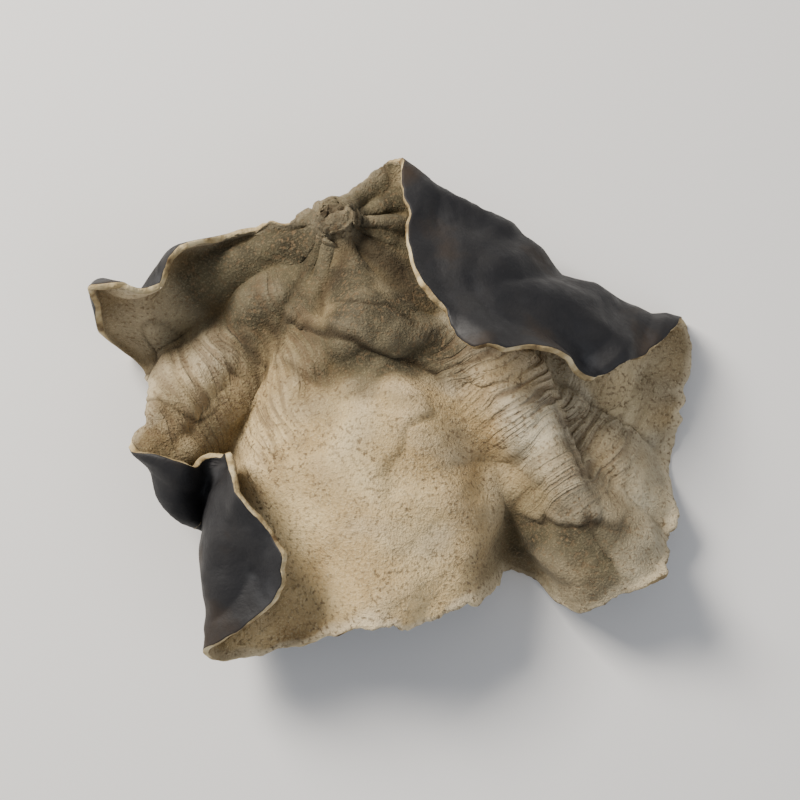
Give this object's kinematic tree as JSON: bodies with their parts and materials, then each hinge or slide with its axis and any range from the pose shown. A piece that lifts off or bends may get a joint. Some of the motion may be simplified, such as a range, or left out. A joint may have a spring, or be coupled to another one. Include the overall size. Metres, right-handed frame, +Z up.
{
  "type": "dried wood ear mushroom",
  "caption": "Dried wood ear mushroom: a thin, stiff, pleated sheet with curled lobes, pale felt above and dark smooth face below, lying loose on its margins.",
  "frame": {"origin": "middle of the bounding box, at the surface the mushroom lies on", "axes": "+Z up, +X towards the broad side lobe, -Y from the foot towards the front lobe"},
  "size_m": [0.1136, 0.0938, 0.0357],
  "materials": {
    "dried_fungus": "matte pale felt above, satin near-black below"
  },
  "bodies": {
    "root": {"fruit_body": "dried_fungus"}
  },
  "joints": []
}
